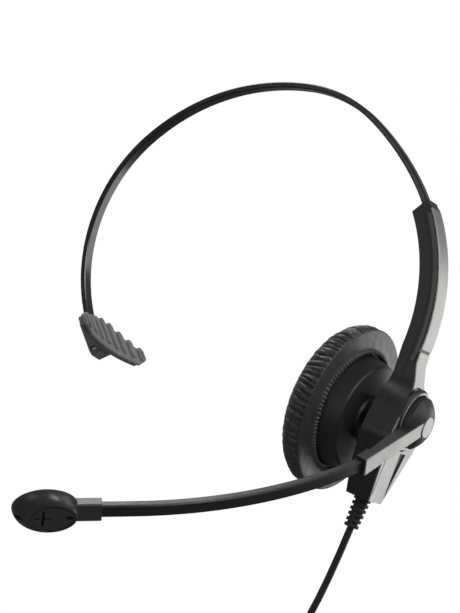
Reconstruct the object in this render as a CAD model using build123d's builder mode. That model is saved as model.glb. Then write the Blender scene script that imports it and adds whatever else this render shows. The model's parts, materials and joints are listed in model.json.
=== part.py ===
from build123d import *
import math
import os

# Single-ear office headset with a boom microphone, in millimetres.
# +Z is up, +X is the side of the ear cup, -Y is the way the wearer faces.
# The origin is on the inner face of the headband at the crown, where the band rests on the head.

# ---------------------------------------------------------------- driving dimensions
band_t = 2.1                    # headband strip, radial thickness
band_w = 4.8                    # headband strip, front to back
crown_r = 52.3                  # outer-face radii of the strip, from the crown outwards
shoulder_r = 103.6
slide_r = 71.7
rear_r = 80.9
tail_r = 62.9
crown_from, crown_to = 66.0, 100.0      # angles where one arc hands over to the next
slide_to = 50.0
rear_to = 150.0
band_end = 10.0                 # angle of the end that hides in the slider
tail_end = 231.0                # angle of the end that hides in the rest pad
gap = 0.3                       # free gap between bodies that move past each other
touch = 0.05                    # assembly gap between fixed neighbours
bore_fit = 0.07                 # radial clearance of a running pin
stop_angle = band_end + 1.6     # the pin that stops the strip pulling out
stop_r = 0.8

pad_angle = 228.1               # place of the rest pad's middle on the tail arc
pad_turn = 9.0                  # the pad's front end is turned towards the head by this angle
pad_half = 31.0                 # half length, front to back
pad_sag = 2.2                   # its ends stand this much nearer the head than its middle
pad_low = -7.9                  # lower edge
pad_cut = (6.0, 2.5)            # slanted lower corners, along and up
pad_top, pad_end_top = 4.9, -1.0        # upper edge at the hub and at the ends
pad_hub_half, pad_hub_low, pad_hub_top = 5.0, -6.9, 8.6
pad_depth0, plate_t, rubber_t = 1.5, 1.2, 1.3
rib_w, rib_t, rib_pitch, rib_low = 5.0, 1.1, 8.0, -6.5
rib_pairs = 4
end_slot = (1.1, 3.6)           # blind slot in each end rib
hub_back = -band_t - 1.6
latch_v, latch_size = -4.9, (2.0, 1.5)      # window through the hub below the strip's end

arm_in, arm_seam, arm_skin, arm_out = 66.0, 69.9, 72.85, 73.4     # slider radii about the slide centre
arm_half_w = 4.7
arm_foot = -1.0                 # angle where the slider's arc ends and the base begins
mouth_in_angle, mouth_out_angle, mouth_out_r = 40.6, 42.3, 72.6
trim_top = 39.6
slot_from = band_end - 2.0
base_z = -128.0                 # bottom of the base
base_foot_w = 5.6               # half width at the bottom
shoulder = (12.8, -105.0)       # half width and height of the base's widest place, under the pivot
shoulder_r0 = 6.0
boss_leave = 9.5                # angle at which the pivot's boss runs straight on to the shoulder
base_in, base_seam, base_out = 66.5, 70.0, 78.0
skin_t = arm_out - arm_skin
wall = 1.3

hub_z = -97.0                   # boom pivot and ear cup height
boss_r = 11.3
collar_in, collar_out, collar_t = 9.75, 11.3, 1.5
hub_r, hub_x0, hub_edge, hub_face = 9.3, 78.6, 80.9, 84.4
disc_r, disc_t = 3.9, 0.6
axle_r, axle_bore = 3.0, 1.4
boom_dip = 33.2                 # the boom's plane, degrees below straight forward
holder_len = 36.5
holder_lean = 4.7               # the holder closes towards the head by this angle
boom_h, boom_w = 4.4, 2.9
boom_r = 141.0
boom_lean0, boom_lean1 = 14.0, 46.5     # the boom's angles towards the mouth at its two ends
boom_socket, boom_tail = 5.0, 14.0      # straight lengths in the holder and before the microphone
neck_len, neck_h, neck_w = 8.6, 6.4, 4.2
pod_reach = 27.7                # from the end of the bend to the microphone's middle
pod_r, pod_roll = 10.35, 25.0

rim_r = 30.0                    # ear cushion
rim_x, rim_z = 54.5, -102.1
cup_yaw, cup_pitch = -3.9, -0.8
cushion_d = 10.5
skirt_r, skirt_h = 21.6, 1.75
drum_r0, drum_r1, drum_h = 21.0, 19.1, 8.1
ball_r, ball_h = 4.2, 5.9
liner_t = 1.3

cord_d = 2.5
relief_x, relief_y, relief_len = 72.3, -0.4, 10.8
coil_r = 14.0


def ring(angle):
    """Unit vector at an angle, as a point of the XZ plane."""
    return Vector(math.cos(math.radians(angle)), math.sin(math.radians(angle)))


# centres of the strip's arcs, each tangent to the one before
crown_c = Vector(0, band_t - crown_r)
shoulder_c = crown_c - ring(crown_from) * (shoulder_r - crown_r)
slide_c = shoulder_c + ring(slide_to) * (shoulder_r - slide_r)
rear_c = crown_c + ring(crown_to) * (crown_r - rear_r)
tail_c = rear_c + ring(rear_to) * (rear_r - tail_r)


def at(radius, angle):
    """Point of the XZ plane at a radius and angle about the slide centre."""
    return slide_c + ring(angle) * radius


def write(piece, name):
    """Label a finished piece and write it."""
    piece.part.label = name
    export_step(piece.part, f"parts/{name}.step")


os.makedirs("parts", exist_ok=True)


# ---------------------------------------------------------------- headband strip
def band_arcs(inset):
    """The strip's arcs, moved inwards from its outer face by inset."""
    CenterArc(slide_c, slide_r - inset, band_end, slide_to - band_end)
    CenterArc(shoulder_c, shoulder_r - inset, slide_to, crown_from - slide_to)
    CenterArc(crown_c, crown_r - inset, crown_from, crown_to - crown_from)
    CenterArc(rear_c, rear_r - inset, crown_to, rear_to - crown_to)
    CenterArc(tail_c, tail_r - inset, rear_to, tail_end - rear_to)


stop_dir = ring(stop_angle)
stop_foot = at(slide_r - band_t - 0.85, stop_angle)
stop_plane = Plane(origin=(stop_foot.X, 0, stop_foot.Y), z_dir=(stop_dir.X, 0, stop_dir.Y))

with BuildPart() as headband_strip:
    with BuildSketch(Plane.XZ):
        with BuildLine():
            band_arcs(0)
            band_arcs(band_t)
            Line(at(slide_r, band_end), at(slide_r - band_t, band_end))
            Line(tail_c + ring(tail_end) * tail_r, tail_c + ring(tail_end) * (tail_r - band_t))
        make_face()
    extrude(amount=band_w / 2, both=True)
    chamfer(headband_strip.edges().filter_by(GeomType.CIRCLE), 0.35)
    with BuildSketch(stop_plane):
        Circle(stop_r)
    extrude(amount=2 * band_t, mode=Mode.SUBTRACT)
write(headband_strip, "headband_strip")

with BuildPart() as band_stop_pin:
    with BuildSketch(stop_plane):
        Circle(stop_r - touch)
    extrude(amount=band_t + 0.8)
    with BuildSketch(stop_plane):
        Circle(stop_r + 0.4)
    extrude(amount=0.7)
write(band_stop_pin, "band_stop_pin")

# ---------------------------------------------------------------- rest pad on the far side
pad_mid = tail_c + ring(pad_angle) * (tail_r - band_t)
pad_normal = Vector(-ring(pad_angle).X, 0, -ring(pad_angle).Y)


def tilted(plane, angle):
    """A plane turned about its own y axis, so that its x axis swings towards its normal by angle."""
    c, s = math.cos(math.radians(angle)), math.sin(math.radians(angle))
    x, z = plane.x_dir, plane.z_dir
    return Plane(plane.origin, x_dir=x * c + z * s, z_dir=z * c - x * s)


pad_plane = tilted(Plane((pad_mid.X, 0, pad_mid.Y), x_dir=(0, 1, 0), z_dir=pad_normal), -pad_turn)
pad_section = Plane(origin=pad_plane.origin, x_dir=pad_plane.x_dir, z_dir=pad_plane.y_dir * -1)
pad_reach = 16.0                # cutting depth that passes through the whole pad
strip_room = 0.15               # clearance round the strip in the hub


def pad_slab(near, far):
    """Plan of the curved pad between two depths; depth grows towards the head."""
    with BuildSketch(pad_section) as plan:
        with BuildLine():
            ThreePointArc((-pad_half, pad_sag + near), (0, near), (pad_half, pad_sag + near))
            ThreePointArc((-pad_half, pad_sag + far), (0, far), (pad_half, pad_sag + far))
            Line((-pad_half, pad_sag + near), (-pad_half, pad_sag + far))
            Line((pad_half, pad_sag + near), (pad_half, pad_sag + far))
        make_face()
    return plan.sketch


def pad_front(inset):
    """Front view of the pad: highest at the hub, sloping to both ends."""
    end, low = pad_half - inset, pad_low + inset
    right = [
        (end - pad_cut[0], low),
        (end, low + pad_cut[1]),
        (end, pad_end_top - inset - 1.0),
        (end - 1.0, pad_end_top - inset),
        (pad_hub_half, pad_top - inset),
    ]
    left = [(-u, v) for u, v in reversed(right)]
    with BuildSketch(pad_plane) as front:
        with BuildLine():
            Polyline(*right, *left, close=True)
        make_face()
    return front.sketch


def hub_front(height):
    """Front view of the pad's hub."""
    with BuildSketch(pad_plane.offset(height)) as front:
        with BuildLine():
            right = [
                (pad_hub_half - 1, pad_hub_low),
                (pad_hub_half, pad_hub_low + 2),
                (pad_hub_half, pad_hub_top - 3),
                (pad_hub_half - 1.5, pad_hub_top - 0.6),
            ]
            Polyline(*right, *[(-u, v) for u, v in reversed(right)], close=True)
        make_face()
    return front.sketch


def strip_tail_room():
    """Side view of the slot that the strip's end sits in."""
    far, near, end = tail_r + strip_room, tail_r - band_t - strip_room, tail_end + 0.3
    with BuildSketch(Plane.XZ) as side:
        with BuildLine():
            CenterArc(tail_c, far, rear_to, end - rear_to)
            CenterArc(tail_c, near, rear_to, end - rear_to)
            Line(tail_c + ring(rear_to) * far, tail_c + ring(rear_to) * near)
            Line(tail_c + ring(end) * far, tail_c + ring(end) * near)
        make_face()
    return side.sketch


latch_plane = Plane(origin=pad_plane.from_local_coords(Vector(0, latch_v, hub_back / 2)),
                    x_dir=pad_plane.z_dir, z_dir=pad_plane.x_dir)

with BuildPart() as rest_pad_carrier:
    extrude(pad_slab(pad_depth0, pad_depth0 + plate_t), amount=pad_reach, both=True)
    extrude(pad_front(0.4), amount=pad_reach, both=True, mode=Mode.INTERSECT)
    extrude(hub_front(hub_back), amount=pad_depth0 + plate_t / 2 - hub_back)
    extrude(strip_tail_room(), amount=band_w / 2 + strip_room, both=True, mode=Mode.SUBTRACT)
    # window of the latch, from one side of the hub to the other
    with BuildSketch(latch_plane):
        Rectangle(*latch_size)
    extrude(amount=pad_hub_half, both=True, mode=Mode.SUBTRACT)
write(rest_pad_carrier, "rest_pad_carrier")

with BuildPart() as rest_pad_latch:
    with BuildSketch(latch_plane):
        Rectangle(latch_size[0] - 2 * touch, latch_size[1] - 2 * touch)
    extrude(amount=pad_hub_half - 0.9, both=True)
write(rest_pad_latch, "rest_pad_latch")

pad_r = (pad_half**2 + pad_sag**2) / (2 * pad_sag)
rubber_near = pad_depth0 + plate_t + touch
rib_slope = (pad_top - pad_end_top) / (pad_half - pad_hub_half)


def rib_plane(u, top):
    """Plane on the rubber's middle layer, centred on a rib, tangent to the curved pad."""
    turn = math.degrees(math.asin(u / pad_r))
    depth = rubber_near + rubber_t / 2 + pad_r - math.sqrt(pad_r**2 - u**2)
    centre = pad_plane.from_local_coords(Vector(u, (top + rib_low) / 2, depth))
    return tilted(Plane(centre, x_dir=pad_plane.x_dir, z_dir=pad_plane.z_dir), turn)


with BuildPart() as rest_pad_rubber:
    extrude(pad_slab(rubber_near, rubber_near + rubber_t), amount=pad_reach, both=True)
    extrude(pad_front(0), amount=pad_reach, both=True, mode=Mode.INTERSECT)
    for i in range(-rib_pairs, rib_pairs):
        u = (i + 0.5) * rib_pitch
        top = min(pad_top, pad_top - (abs(u) - pad_hub_half) * rib_slope) + 0.2
        with BuildSketch(rib_plane(u, top)):
            SlotOverall(top - rib_low, rib_w, rotation=90)
        extrude(amount=rubber_t / 2 + rib_t, taper=8)
    for side in (-1, 1):
        u = side * (rib_pairs - 0.5) * rib_pitch
        with BuildSketch(rib_plane(u, pad_end_top).offset(rubber_t / 2)):
            SlotOverall(end_slot[1], end_slot[0], rotation=90)
        extrude(amount=2 * rib_t, mode=Mode.SUBTRACT)
write(rest_pad_rubber, "rest_pad_rubber")

with BuildPart() as rest_pad_pins:
    with BuildSketch(pad_plane.offset(hub_back - 0.35)):
        with Locations((0, -2.2), (0, 4.4)):
            Circle(1.1)
    extrude(amount=0.35)
write(rest_pad_pins, "rest_pad_pins")


# ---------------------------------------------------------------- slider arm and base, shared profiles
inner_path = [(base_in, -84), (base_in + 0.1, -119), (base_in + 1.2, base_z)]
seam_path = [(base_seam, -90), (base_seam, -112), (base_seam + 1.5, base_z)]
outer_path = [(73.3, -78.0), (77.5, -90.5), (base_out, -97.0), (base_out, -108.0), (76.9, base_z)]


def moved(path, step):
    """A path moved in X by step."""
    return [(x + step, z) for x, z in path]


def mouth_point(radius):
    """Point of the slanted mouth at about a radius."""
    share = (radius - arm_in) / (mouth_out_r - arm_in)
    return at(arm_in, mouth_in_angle) * (1 - share) + at(mouth_out_r, mouth_out_angle) * share


def mouth_angle(radius):
    """Angle at which the slanted mouth crosses a radius."""
    point = mouth_point(radius) - slide_c
    return math.degrees(math.atan2(point.Y, point.X))


def arm_face(radius, path, top):
    """Slider face from an angle down to the arc's foot, running on through the points of path."""
    arc = CenterArc(slide_c, radius, arm_foot, top - arm_foot)
    foot = at(radius, arm_foot)
    FilletPolyline(foot, *path, radius=4)
    return arc


def side_slab(inner_r, inner, outer_r, outer, top=None):
    """Side view of the slab between two faces of the arm."""
    tops = [top or mouth_angle(r) for r in (inner_r, outer_r)]
    with BuildSketch(Plane.XZ) as side:
        with BuildLine():
            arm_face(inner_r, inner, tops[0])
            arm_face(outer_r, outer, tops[1])
            Line(at(inner_r, tops[0]), at(outer_r, tops[1]))
            Line(inner[-1], outer[-1])
        make_face()
    return side.sketch


def front_outline(inset):
    """Front view of arm and base: straight slider, round boss at the pivot, shoulders, tapered foot."""
    r, half, foot = boss_r - inset, arm_half_w - inset, base_foot_w - inset
    wide, waist = shoulder[0] - inset, ring(boss_leave) * r
    with BuildSketch(Plane.YZ) as front:
        with Locations((0, hub_z)):
            Circle(r)
        with BuildLine():
            right = [(foot, base_z + inset), (wide, shoulder[1]), (waist.X, hub_z + waist.Y)]
            Polyline(*right, *[(-y, z) for y, z in reversed(right)], close=True)
        make_face()
        fillet([v for v in front.vertices() if abs(abs(v.X) - wide) < 0.01], shoulder_r0)
        with Locations((0, hub_z / 2)):
            Rectangle(2 * half, -hub_z)
        necks = front.vertices().filter_by_position(Axis.Y, hub_z + r / 2, hub_z + r)
        fillet([v for v in necks if abs(abs(v.X) - half) < 0.01], 8 + inset)
    return front.sketch


def curved_room(near, far, low, high):
    """Side view of the curved room between two radii and two angles."""
    with BuildSketch(Plane.XZ) as side:
        with BuildLine():
            CenterArc(slide_c, near, low, high - low)
            CenterArc(slide_c, far, low, high - low)
            Line(at(near, low), at(far, low))
            Line(at(near, high), at(far, high))
        make_face()
    return side.sketch


def disc(x, y, z, radius):
    """Circle that faces +X at a point."""
    with BuildSketch(Plane.YZ.offset(x)) as face:
        with Locations((y, z)):
            Circle(radius)
    return face.sketch


def along_x(x0, x1, y, z, radius, mode=Mode.ADD):
    """Round bar or hole along X."""
    extrude(disc(x0, y, z, radius), amount=x1 - x0, mode=mode)


channel_in, channel_out = slide_r - band_t - gap, slide_r + gap
channel = (channel_in, channel_out, slot_from, mouth_out_angle + 3)
channel_half = band_w / 2 + gap
screws = [(0, -69.5), (0, -84.5), (0, -122.0)]          # y and z of the shell screws
screw_r, screw_head_r, screw_boss_r = 0.95, 1.9, 2.6
screw_seat = base_in + 1.3
bore_x0 = 73.4                                          # inner end of the pivot's boss
stud_neck_r, stud_flange_r = 2.0, 4.2
cup_x = Vector(1, 0, 0).rotate(Axis.Y, cup_pitch * -1).rotate(Axis.Z, cup_yaw)
cup_plane = Plane(origin=(rim_x, 0, rim_z), x_dir=(0, 0, 1), z_dir=cup_x)
ball_c = cup_plane.from_local_coords(Vector(0, 0, ball_h))
relief_neck_r, relief_flange_r = 2.1, 2.6
spring_r, spring_t, spring_half = 67.75, 0.25, 1.6
spring_low, spring_high, spring_bump = 32.5, 39.5, 36.6

with BuildPart() as inner_room:
    extrude(side_slab(arm_in + wall, moved(inner_path, wall), arm_seam + 1, moved(seam_path, 1), 6),
            amount=20, both=True)
    extrude(front_outline(wall), amount=100, mode=Mode.INTERSECT)
    for y, z in screws:
        along_x(60, 80, y, z, screw_boss_r, Mode.SUBTRACT)

with BuildPart() as arm_inner_shell:
    extrude(side_slab(arm_in, inner_path, arm_seam, seam_path), amount=20, both=True)
    extrude(front_outline(0), amount=100, mode=Mode.INTERSECT)
    extrude(curved_room(*channel), amount=channel_half, both=True, mode=Mode.SUBTRACT)
    # groove of the stop pin, and the pocket of the detent spring beyond it
    extrude(curved_room(slide_r - band_t - 1.15, channel_in + 0.1, slot_from, spring_low), amount=1.5,
            both=True, mode=Mode.SUBTRACT)
    extrude(curved_room(spring_r - gap, channel_in + 0.1, spring_low - 0.5, spring_high + 0.5),
            amount=spring_half + gap, both=True, mode=Mode.SUBTRACT)
    # room in the base, with the screw bosses left standing
    add(inner_room.part, mode=Mode.SUBTRACT)
    for y, z in screws:
        along_x(60, screw_seat, y, z, screw_head_r + touch, Mode.SUBTRACT)
        along_x(60, 80, y, z, screw_r + touch, Mode.SUBTRACT)
    along_x(60, 80, ball_c.Y, ball_c.Z, stud_neck_r + touch, Mode.SUBTRACT)
    # half of the hole for the cord's strain relief
    with Locations((relief_x, relief_y, base_z)):
        Cylinder(relief_neck_r + touch, 8, mode=Mode.SUBTRACT)
write(arm_inner_shell, "arm_inner_shell")

with BuildPart() as outer_room:
    extrude(side_slab(arm_seam - 1, moved(seam_path, -1), arm_skin - wall,
                      moved(outer_path, -skin_t - wall), 6), amount=20, both=True)
    extrude(front_outline(wall), amount=100, mode=Mode.INTERSECT)
    for y, z in screws:
        along_x(60, 80, y, z, screw_boss_r, Mode.SUBTRACT)
    along_x(bore_x0, 80, 0, hub_z, axle_r + 2.2, Mode.SUBTRACT)

with BuildPart() as arm_outer_shell:
    extrude(side_slab(arm_seam + touch, moved(seam_path, touch), arm_skin, moved(outer_path, -skin_t)),
            amount=20, both=True)
    extrude(front_outline(0), amount=100, mode=Mode.INTERSECT)
    # raised lip at the mouth, flush with the trim below it
    with BuildSketch(Plane.XZ):
        with BuildLine():
            lip = [at(arm_skin - 0.4, trim_top), at(arm_out, trim_top),
                   at(mouth_out_r, mouth_out_angle - 0.2), at(mouth_out_r - 0.8, mouth_out_angle - 0.4)]
            Polyline(*lip, close=True)
        make_face()
    extrude(amount=arm_half_w, both=True)
    extrude(curved_room(*channel), amount=channel_half, both=True, mode=Mode.SUBTRACT)
    add(outer_room.part, mode=Mode.SUBTRACT)
    for y, z in screws:
        along_x(60, 72.2, y, z, screw_r + touch, Mode.SUBTRACT)
    along_x(60, 90, 0, hub_z, axle_r + bore_fit, Mode.SUBTRACT)
    # seat of the collar round the pivot
    with BuildSketch(Plane.YZ.offset(base_out - skin_t - 0.4)):
        with Locations((0, hub_z)):
            Circle(collar_out + touch)
            Circle(axle_r + 2.2, mode=Mode.SUBTRACT)
    extrude(amount=5, mode=Mode.SUBTRACT)
    with Locations((relief_x, relief_y, base_z)):
        Cylinder(relief_neck_r + touch, 8, mode=Mode.SUBTRACT)
write(arm_outer_shell, "arm_outer_shell")

with BuildPart() as side_rails:
    rail_in, rail_out, rail_low = 71.1, arm_skin - 0.1, -4.2
    with BuildSketch(Plane.XZ.offset(-arm_half_w - touch)):
        with BuildLine():
            CenterArc(slide_c, rail_in, rail_low, trim_top - 1.5 - rail_low)
            CenterArc(slide_c, rail_out, rail_low, trim_top - 1.5 - rail_low)
            Line(at(rail_in, rail_low), at(rail_out, rail_low))
            Line(at(rail_in, trim_top - 1.5), at(rail_out, trim_top - 1.5))
        make_face()
    extrude(amount=-0.5)
    mirror(about=Plane.XZ)
write(side_rails, "side_rails")

# ---------------------------------------------------------------- silver trims on the outer face
trim_half = arm_half_w - 0.05


def skin_slab(low, high):
    """Side view of the trim layer, on the outer face between two heights."""
    skin = side_slab(arm_skin + touch, moved(outer_path, touch - skin_t), arm_out, outer_path, trim_top)
    with BuildSketch(Plane.XZ) as layer:
        add(skin)
        with Locations((75, (low + high) / 2)):
            Rectangle(60, high - low, mode=Mode.INTERSECT)
    return layer.sketch


gap_z = -73.5
with BuildPart() as trim_upper:
    extrude(skin_slab(gap_z + 0.5, 0), amount=trim_half, both=True)
    outer_face = trim_upper.faces().filter_by(GeomType.CYLINDER).sort_by(SortBy.AREA)[-1]
    chamfer(outer_face.edges().filter_by(GeomType.CIRCLE), 0.2)
write(trim_upper, "trim_upper")

with BuildPart() as trim_middle:
    extrude(skin_slab(hub_z, gap_z - 0.5), amount=20, both=True)
    extrude(front_outline(0.35), amount=100, mode=Mode.INTERSECT)
    along_x(60, 90, 0, hub_z, collar_out + 2 * touch, Mode.SUBTRACT)
write(trim_middle, "trim_middle")

groove_top, groove_foot = hub_z - 12.0, -125.6
with BuildPart() as fine_line:
    with BuildSketch(Plane.YZ):
        with BuildLine():
            Polyline((-8.5, groove_top), (-8.1, groove_top), (-5.4, groove_foot),
                     (-5.8, groove_foot), close=True)
        make_face()
    extrude(amount=100)
    extrude(side_slab(arm_out - 0.25, moved(outer_path, -0.25), arm_out + 2, moved(outer_path, 2)),
            amount=20, both=True, mode=Mode.INTERSECT)

with BuildPart() as trim_lower:
    extrude(skin_slab(base_z, hub_z), amount=20, both=True)
    extrude(front_outline(0.1), amount=100, mode=Mode.INTERSECT)
    along_x(60, 90, 0, hub_z, collar_out + 2 * touch, Mode.SUBTRACT)
    # long tapering window towards the back
    with BuildSketch(Plane.YZ):
        with BuildLine():
            Polyline((1.7, groove_top), (6.5, groove_top), (5.7, groove_foot), (5.3, groove_foot), close=True)
        make_face()
    extrude(amount=100, mode=Mode.SUBTRACT)
    # fine line cut beside the front edge
    add(fine_line.part, mode=Mode.SUBTRACT)
write(trim_lower, "trim_lower")

with BuildPart() as shell_screws:
    for y, z in screws:
        along_x(screw_seat - 1.1, screw_seat, y, z, screw_head_r)
        along_x(screw_seat, 72.0, y, z, screw_r)
        with BuildSketch(Plane.YZ.offset(screw_seat - 1.1)):
            with Locations((y, z)):
                Rectangle(2.2, 0.45)
                Rectangle(0.45, 2.2)
        extrude(amount=0.6, mode=Mode.SUBTRACT)
write(shell_screws, "shell_screws")

# ---------------------------------------------------------------- parts inside the arm
with BuildPart() as detent_spring:
    with BuildSketch(Plane.XZ):
        add(curved_room(spring_r, spring_r + spring_t, spring_low, spring_high))
        with Locations(at(spring_r + 0.35, spring_bump)):
            Circle(0.8)
        add(curved_room(spring_r - 2, spring_r, spring_low, spring_high), mode=Mode.SUBTRACT)
    extrude(amount=spring_half, both=True)
write(detent_spring, "detent_spring")

with BuildPart() as terminal_board:
    with BuildSketch(Plane.YZ.offset(71.6)):
        with Locations((0, -114.0)):
            RectangleRounded(10.0, 7.0, 0.8)
            with GridLocations(2.4, 4.6, 4, 2):
                Circle(0.45, mode=Mode.SUBTRACT)
    extrude(amount=1.0)
write(terminal_board, "terminal_board")

with BuildPart() as boom_collar:
    with BuildSketch(Plane.YZ.offset(base_out - skin_t - 0.4 + touch)):
        with Locations((0, hub_z)):
            Circle(collar_out)
            Circle(axle_r + 2.2 + touch, mode=Mode.SUBTRACT)
    extrude(amount=0.5)
    with BuildSketch(Plane.YZ.offset(base_out - skin_t - 0.4 + touch)):
        with Locations((0, hub_z)):
            Circle(collar_out)
            Circle(collar_in, mode=Mode.SUBTRACT)
    extrude(amount=collar_t)
    chamfer(boom_collar.faces().sort_by(Axis.X)[-1].edges().sort_by(SortBy.RADIUS)[-1:], 0.7)
write(boom_collar, "boom_collar")

collar_x1 = base_out - skin_t - 0.4 + touch + collar_t
with BuildPart() as collar_ring:
    with BuildSketch(Plane.YZ.offset(collar_x1 + 0.01)):
        with Locations((0, hub_z)):
            Circle(collar_out - 0.75)
            Circle(collar_in, mode=Mode.SUBTRACT)
    extrude(amount=0.25)
write(collar_ring, "collar_ring")

# ---------------------------------------------------------------- boom hub and holder
boom_m = Vector(0, -math.cos(math.radians(boom_dip)), -math.sin(math.radians(boom_dip)))
boom_n = Vector(0, -math.sin(math.radians(boom_dip)), math.cos(math.radians(boom_dip)))
# local x runs out along the boom, local y is +X, and the plane's normal is the boom's upper side
boom_plane = Plane(origin=(0, 0, hub_z), x_dir=boom_m, z_dir=boom_n)
lean = math.radians(holder_lean)
holder_x0 = hub_face + 0.1                              # outer face of the holder above the pivot
holder_end = (holder_len * math.cos(lean), holder_x0 - holder_len * math.sin(lean))
# holder frame: local x along it, local y up, local z outwards, origin at its outer end face
holder_z = Vector(1, 0, 0) * math.cos(lean) + boom_m * math.sin(lean)
holder_x = boom_m * math.cos(lean) - Vector(1, 0, 0) * math.sin(lean)
holder_plane = Plane(origin=Vector(holder_x0, 0, hub_z), x_dir=holder_x, z_dir=holder_z)
holder_t = 4.3
strip_low, strip_high, strip_high0, strip_t = -3.3, 2.7, 1.9, 0.5


def holder_section(step):
    """Cross-section of the holder at its pivot end (0) or its outer end (1)."""
    high = strip_high0 + (strip_high - strip_high0) * step
    with BuildSketch(Plane(origin=holder_plane.from_local_coords(Vector(holder_len * step, 0, 0)),
                           x_dir=holder_plane.y_dir, z_dir=holder_plane.x_dir)) as cut:
        with BuildLine():
            Polyline((strip_low, -strip_t), (high, -strip_t), (high + 1.3, -1.6), (high + 1.3, -holder_t),
                     (strip_low, -holder_t), close=True)
        make_face()
    return cut.sketch


def strip_plan(low, margin):
    """Outline of the holder's strip, in its plane at a depth under the strip's face."""
    with BuildSketch(holder_plane.offset(low)) as plan:
        with BuildLine():
            start, end, low_edge = 3.0 - margin, holder_len + margin, strip_low - margin
            Polyline((start, low_edge), (end, low_edge), (end, strip_high + margin),
                     (start, strip_high0 + margin), close=True)
        make_face()
    return plan.sketch


def lean_dir(angle):
    """Direction in the boom's plane at an angle towards the mouth."""
    return Vector(math.cos(math.radians(angle)), -math.sin(math.radians(angle)))


def lean_side(angle):
    """Outward normal of that direction, in the boom's plane."""
    return Vector(math.sin(math.radians(angle)), math.cos(math.radians(angle)))


# the boom's centre line: straight in the holder, one bend, straight into the microphone's neck
boom_start = Vector(holder_end[0] - boom_socket, holder_end[1] - holder_t / 2 + 0.3)
boom_bend = boom_start + lean_dir(boom_lean0) * (boom_socket + 1.0)
boom_far = boom_bend + (lean_side(boom_lean1) - lean_side(boom_lean0)) * boom_r
boom_end = boom_far + lean_dir(boom_lean1) * boom_tail
pod_at = boom_far + lean_dir(boom_lean1) * pod_reach


def boom_side(width):
    """Side view of the boom."""
    with BuildSketch(boom_plane) as side:
        with BuildLine():
            for step in (-width / 2, width / 2):
                bend = boom_bend + lean_side(boom_lean0) * step
                far = boom_far + lean_side(boom_lean1) * step
                Line(boom_start + lean_side(boom_lean0) * step, bend)
                RadiusArc(bend, far, boom_r + step)
                Line(far, boom_end + lean_side(boom_lean1) * step)
            for point, angle in ((boom_start, boom_lean0), (boom_end, boom_lean1)):
                Line(point - lean_side(angle) * width / 2, point + lean_side(angle) * width / 2)
        make_face()
    return side.sketch


with BuildPart() as boom_tube:
    extrude(boom_side(boom_w), amount=boom_h / 2, both=True)
    chamfer(boom_tube.edges().filter_by(GeomType.CIRCLE), 0.4)
write(boom_tube, "boom_tube")

# solid of revolution about the pivot; profile in the XZ plane above the pivot's line
pivot_line = Axis((0, 0, hub_z), (1, 0, 0))
socket_room = 0.08
with BuildPart() as boom_hub:
    with BuildSketch(Plane.XZ):
        with BuildLine():
            dome_start, dome_end = (hub_edge, hub_z + hub_r), (hub_face, hub_z + disc_r + 0.15)
            Polyline((hub_x0, hub_z), (hub_x0, hub_z + hub_r - 0.2), (hub_x0 + 0.2, hub_z + hub_r),
                     dome_start)
            RadiusArc(dome_start, dome_end, 11.5)
            Polyline(dome_end, (hub_face - disc_t, hub_z + disc_r + 0.15), (hub_face - disc_t, hub_z),
                     (hub_x0, hub_z))
        make_face()
    revolve(axis=pivot_line)
    # holder bar, lofted from the hub to its square end
    loft(sections=[holder_section(0), holder_section(1)])
    # keep the bar clear of the disc's seat and of the collar behind it
    along_x(hub_face - disc_t, 100, 0, hub_z, disc_r + 0.15, Mode.SUBTRACT)
    along_x(70, hub_x0, 0, hub_z, 30, Mode.SUBTRACT)
    # seat of the strip
    extrude(strip_plan(-strip_t, touch), amount=4, mode=Mode.SUBTRACT)
    # socket of the boom
    extrude(boom_side(boom_w + 2 * socket_room), amount=boom_h / 2 + socket_room, both=True,
            mode=Mode.SUBTRACT)
    # blind bore that the axle is pressed into
    along_x(70, hub_face - disc_t - 1.0, 0, hub_z, axle_r + 0.02, Mode.SUBTRACT)
write(boom_hub, "boom_hub")

with BuildPart() as hub_disc:
    along_x(hub_face - disc_t + touch, hub_face, 0, hub_z, disc_r)
    chamfer(hub_disc.faces().sort_by(Axis.X)[-1].edges(), 0.15)
write(hub_disc, "hub_disc")

with BuildPart() as holder_strip:
    extrude(strip_plan(0.02 - strip_t, 0), amount=strip_t - 0.02)
    chamfer(holder_strip.faces().sort_by(Axis(holder_plane.origin, holder_plane.z_dir))[-1].edges(), 0.12)
    # its pivot end follows the disc
    along_x(70, 100, 0, hub_z, disc_r + 0.5, Mode.SUBTRACT)
write(holder_strip, "holder_strip")

clip_x, clip_t = 72.35, 0.6
with BuildPart() as pivot_axle:
    along_x(clip_x - 1.0, hub_face - disc_t - 1.05, 0, hub_z, axle_r)
    along_x(60, 90, 0, hub_z, axle_bore, Mode.SUBTRACT)
    with BuildSketch(Plane.YZ.offset(clip_x - 0.03)):
        with Locations((0, hub_z)):
            Circle(axle_r + 1)
            Circle(axle_r - 0.6, mode=Mode.SUBTRACT)
    extrude(amount=clip_t + 0.06, mode=Mode.SUBTRACT)
write(pivot_axle, "pivot_axle")

with BuildPart() as axle_clip:
    with BuildSketch(Plane.YZ.offset(clip_x)):
        with Locations((0, hub_z)):
            Circle(axle_r + 1.6)
            Circle(axle_r - 0.58, mode=Mode.SUBTRACT)
        with Locations((0, hub_z - axle_r - 1)):
            Rectangle(3.2, 4.5, mode=Mode.SUBTRACT)
    extrude(amount=clip_t)
write(axle_clip, "axle_clip")

with BuildPart() as friction_washer:
    with BuildSketch(Plane.YZ.offset(clip_x + clip_t + 0.02)):
        with Locations((0, hub_z)):
            Circle(axle_r + 1.9)
            Circle(axle_r + 0.05, mode=Mode.SUBTRACT)
    extrude(amount=0.3)
write(friction_washer, "friction_washer")

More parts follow.
